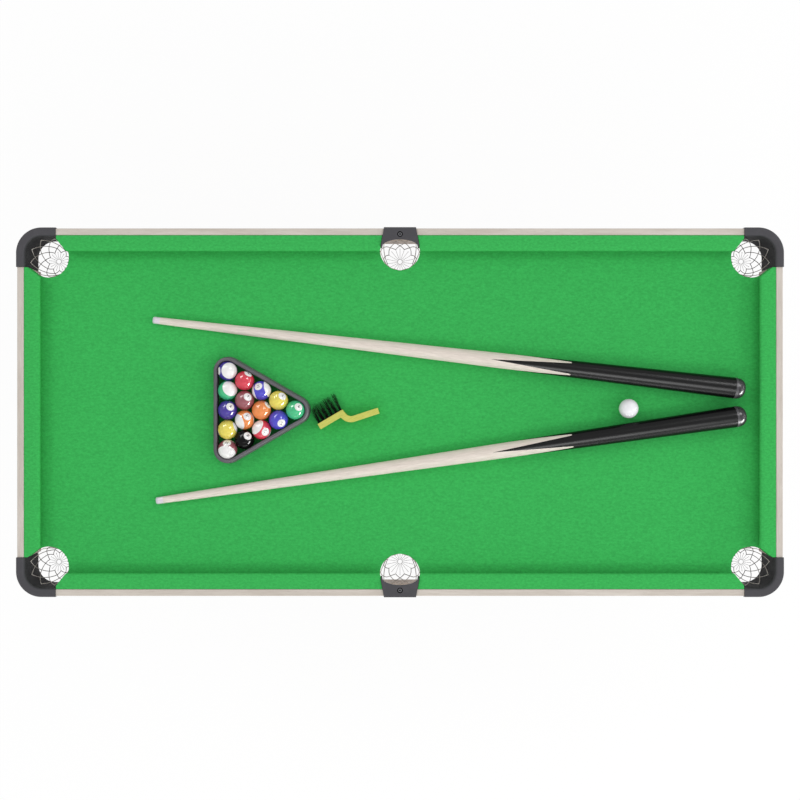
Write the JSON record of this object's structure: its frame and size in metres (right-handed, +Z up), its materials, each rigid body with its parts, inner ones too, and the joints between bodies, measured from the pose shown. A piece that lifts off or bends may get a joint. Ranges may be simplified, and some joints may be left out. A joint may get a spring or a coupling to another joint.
{
  "type": "billiard table",
  "caption": "Rectangular home billiard table with a green cloth bed, netted pockets and folding legs; balls in a rack, a cue ball, cues and a brush lie on it.",
  "frame": {"origin": "on the floor under the middle of the table", "axes": "+X along the table to its right-hand end, +Y across it to the back, +Z up"},
  "size_m": [1.504, 0.724, 0.7639],
  "materials": {
    "bed_board": "bare fibreboard",
    "bed_cloth": "napped cloth",
    "cushion_cloth": "cloth over rubber",
    "rail_wood": "satin foil wood",
    "cap_plastic": "moulded satin",
    "screw_steel": "zinc plated",
    "net_cord": "knotted cord",
    "leg_steel": "black powder coat",
    "stay_steel": "zinc plated",
    "foot_rubber": "matte",
    "ball_yellow": "polished",
    "ball_blue": "polished",
    "ball_red": "polished",
    "ball_purple": "polished",
    "ball_orange": "polished",
    "ball_green": "polished",
    "ball_maroon": "polished",
    "ball_black": "polished",
    "ball_white": "polished",
    "rack_plastic": "moulded satin",
    "cue_wood": "lacquered, black butt",
    "brush_wood": "yellow lacquer",
    "bristle": "black nylon"
  },
  "bodies": {
    "table": {"playfield_board": "bed_board", "playing_cloth": "bed_cloth", "apron_front": "rail_wood", "side_cap_front": "cap_plastic", "side_cap_screw_front": "screw_steel", "pocket_net_front": "net_cord", "cushion_front_left": "cushion_cloth", "corner_cap_front_left": "cap_plastic", "pocket_net_front_left": "net_cord", "cushion_front_right": "cushion_cloth", "corner_cap_front_right": "cap_plastic", "pocket_net_front_right": "net_cord", "apron_back": "rail_wood", "side_cap_back": "cap_plastic", "side_cap_screw_back": "screw_steel", "pocket_net_back": "net_cord", "cushion_back_left": "cushion_cloth", "corner_cap_back_left": "cap_plastic", "pocket_net_back_left": "net_cord", "cushion_back_right": "cushion_cloth", "corner_cap_back_right": "cap_plastic", "pocket_net_back_right": "net_cord", "apron_left": "rail_wood", "cushion_left": "cushion_cloth", "leg_chassis_left": "leg_steel", "apron_right": "rail_wood", "cushion_right": "cushion_cloth", "leg_chassis_right": "leg_steel"},
    "leg_left": {"leg_frame_left": "leg_steel"},
    "stay_upper_left": {"stay_upper_left": "stay_steel"},
    "stay_lower_left": {"stay_lower_left": "stay_steel"},
    "foot_left_front": {"foot_left_front": "foot_rubber"},
    "foot_left_back": {"foot_left_back": "foot_rubber"},
    "leg_right": {"leg_frame_right": "leg_steel"},
    "stay_upper_right": {"stay_upper_right": "stay_steel"},
    "stay_lower_right": {"stay_lower_right": "stay_steel"},
    "foot_right_front": {"foot_right_front": "foot_rubber"},
    "foot_right_back": {"foot_right_back": "foot_rubber"},
    "cue_1": {"cue_1": "cue_wood"},
    "cue_2": {"cue_2": "cue_wood"},
    "ball_rack": {"ball_rack": "rack_plastic"},
    "brush": {"brush_handle": "brush_wood", "brush_bristles": "bristle"},
    "cue_ball": {"cue_ball": "ball_white"},
    "ball_1": {"ball_1": "ball_yellow"},
    "ball_2": {"ball_2": "ball_blue"},
    "ball_3": {"ball_3": "ball_red"},
    "ball_4": {"ball_4": "ball_purple"},
    "ball_5": {"ball_5": "ball_orange"},
    "ball_6": {"ball_6": "ball_green"},
    "ball_7": {"ball_7": "ball_maroon"},
    "ball_8": {"ball_8": "ball_black"},
    "ball_9": {"ball_9": "ball_yellow"},
    "ball_10": {"ball_10": "ball_blue"},
    "ball_11": {"ball_11": "ball_red"},
    "ball_12": {"ball_12": "ball_purple"},
    "ball_13": {"ball_13": "ball_orange"},
    "ball_14": {"ball_14": "ball_green"},
    "ball_15": {"ball_15": "ball_maroon"}
  },
  "joints": [
    {"name": "leg_fold_left", "type": "hinge", "parent": "table", "child": "leg_left", "pos_m": [-0.696, 0, 0.6867], "axis": [0, -1, 0], "range_deg": [0, 90]},
    {"name": "stay_upper_left_turn", "type": "hinge", "parent": "table", "child": "stay_upper_left", "pos_m": [-0.416, 0, 0.6959], "axis": [0, 1, 0], "range_deg": [0, 45.7]},
    {"name": "stay_lower_left_turn", "type": "hinge", "parent": "leg_left", "child": "stay_lower_left", "pos_m": [-0.692, 0, 0.4067], "axis": [0, -1, 0], "range_deg": [0, 43]},
    {"name": "foot_left_front_level", "type": "slide", "parent": "leg_left", "child": "foot_left_front", "axis": [0, 0, -1], "range_m": [0, 0.008]},
    {"name": "foot_left_back_level", "type": "slide", "parent": "leg_left", "child": "foot_left_back", "axis": [0, 0, -1], "range_m": [0, 0.008]},
    {"name": "leg_fold_right", "type": "hinge", "parent": "table", "child": "leg_right", "pos_m": [0.696, 0, 0.6867], "axis": [0, 1, 0], "range_deg": [0, 90]},
    {"name": "stay_upper_right_turn", "type": "hinge", "parent": "table", "child": "stay_upper_right", "pos_m": [0.416, 0, 0.6959], "axis": [0, -1, 0], "range_deg": [0, 45.7]},
    {"name": "stay_lower_right_turn", "type": "hinge", "parent": "leg_right", "child": "stay_lower_right", "pos_m": [0.692, 0, 0.4067], "axis": [0, 1, 0], "range_deg": [0, 43]},
    {"name": "foot_right_front_level", "type": "slide", "parent": "leg_right", "child": "foot_right_front", "axis": [0, 0, -1], "range_m": [0, 0.008]},
    {"name": "foot_right_back_level", "type": "slide", "parent": "leg_right", "child": "foot_right_back", "axis": [0, 0, -1], "range_m": [0, 0.008]},
    {"name": "cue_1_lift", "type": "slide", "parent": "table", "child": "cue_1", "axis": [0, 0, 1], "range_m": [0, 0.12]},
    {"name": "cue_2_lift", "type": "slide", "parent": "table", "child": "cue_2", "axis": [0, 0, 1], "range_m": [0, 0.12]},
    {"name": "ball_rack_lift", "type": "slide", "parent": "table", "child": "ball_rack", "axis": [0, 0, 1], "range_m": [0, 0.12]},
    {"name": "brush_lift", "type": "slide", "parent": "table", "child": "brush", "axis": [0, 0, 1], "range_m": [0, 0.12]},
    {"name": "cue_ball_lift", "type": "slide", "parent": "table", "child": "cue_ball", "axis": [0, 0, 1], "range_m": [0, 0.12]},
    {"name": "ball_1_lift", "type": "slide", "parent": "table", "child": "ball_1", "axis": [0, 0, 1], "range_m": [0, 0.12]},
    {"name": "ball_2_lift", "type": "slide", "parent": "table", "child": "ball_2", "axis": [0, 0, 1], "range_m": [0, 0.12]},
    {"name": "ball_3_lift", "type": "slide", "parent": "table", "child": "ball_3", "axis": [0, 0, 1], "range_m": [0, 0.12]},
    {"name": "ball_4_lift", "type": "slide", "parent": "table", "child": "ball_4", "axis": [0, 0, 1], "range_m": [0, 0.12]},
    {"name": "ball_5_lift", "type": "slide", "parent": "table", "child": "ball_5", "axis": [0, 0, 1], "range_m": [0, 0.12]},
    {"name": "ball_6_lift", "type": "slide", "parent": "table", "child": "ball_6", "axis": [0, 0, 1], "range_m": [0, 0.12]},
    {"name": "ball_7_lift", "type": "slide", "parent": "table", "child": "ball_7", "axis": [0, 0, 1], "range_m": [0, 0.12]},
    {"name": "ball_8_lift", "type": "slide", "parent": "table", "child": "ball_8", "axis": [0, 0, 1], "range_m": [0, 0.12]},
    {"name": "ball_9_lift", "type": "slide", "parent": "table", "child": "ball_9", "axis": [0, 0, 1], "range_m": [0, 0.12]},
    {"name": "ball_10_lift", "type": "slide", "parent": "table", "child": "ball_10", "axis": [0, 0, 1], "range_m": [0, 0.12]},
    {"name": "ball_11_lift", "type": "slide", "parent": "table", "child": "ball_11", "axis": [0, 0, 1], "range_m": [0, 0.12]},
    {"name": "ball_12_lift", "type": "slide", "parent": "table", "child": "ball_12", "axis": [0, 0, 1], "range_m": [0, 0.12]},
    {"name": "ball_13_lift", "type": "slide", "parent": "table", "child": "ball_13", "axis": [0, 0, 1], "range_m": [0, 0.12]},
    {"name": "ball_14_lift", "type": "slide", "parent": "table", "child": "ball_14", "axis": [0, 0, 1], "range_m": [0, 0.12]},
    {"name": "ball_15_lift", "type": "slide", "parent": "table", "child": "ball_15", "axis": [0, 0, 1], "range_m": [0, 0.12]}
  ],
  "couplings": [
    {"joint": "stay_upper_left_turn", "follows": "leg_fold_left", "ratio": 0.50661},
    {"joint": "stay_lower_left_turn", "follows": "leg_fold_left", "ratio": 0.47678},
    {"joint": "stay_upper_right_turn", "follows": "leg_fold_right", "ratio": 0.50661},
    {"joint": "stay_lower_right_turn", "follows": "leg_fold_right", "ratio": 0.47678}
  ]
}
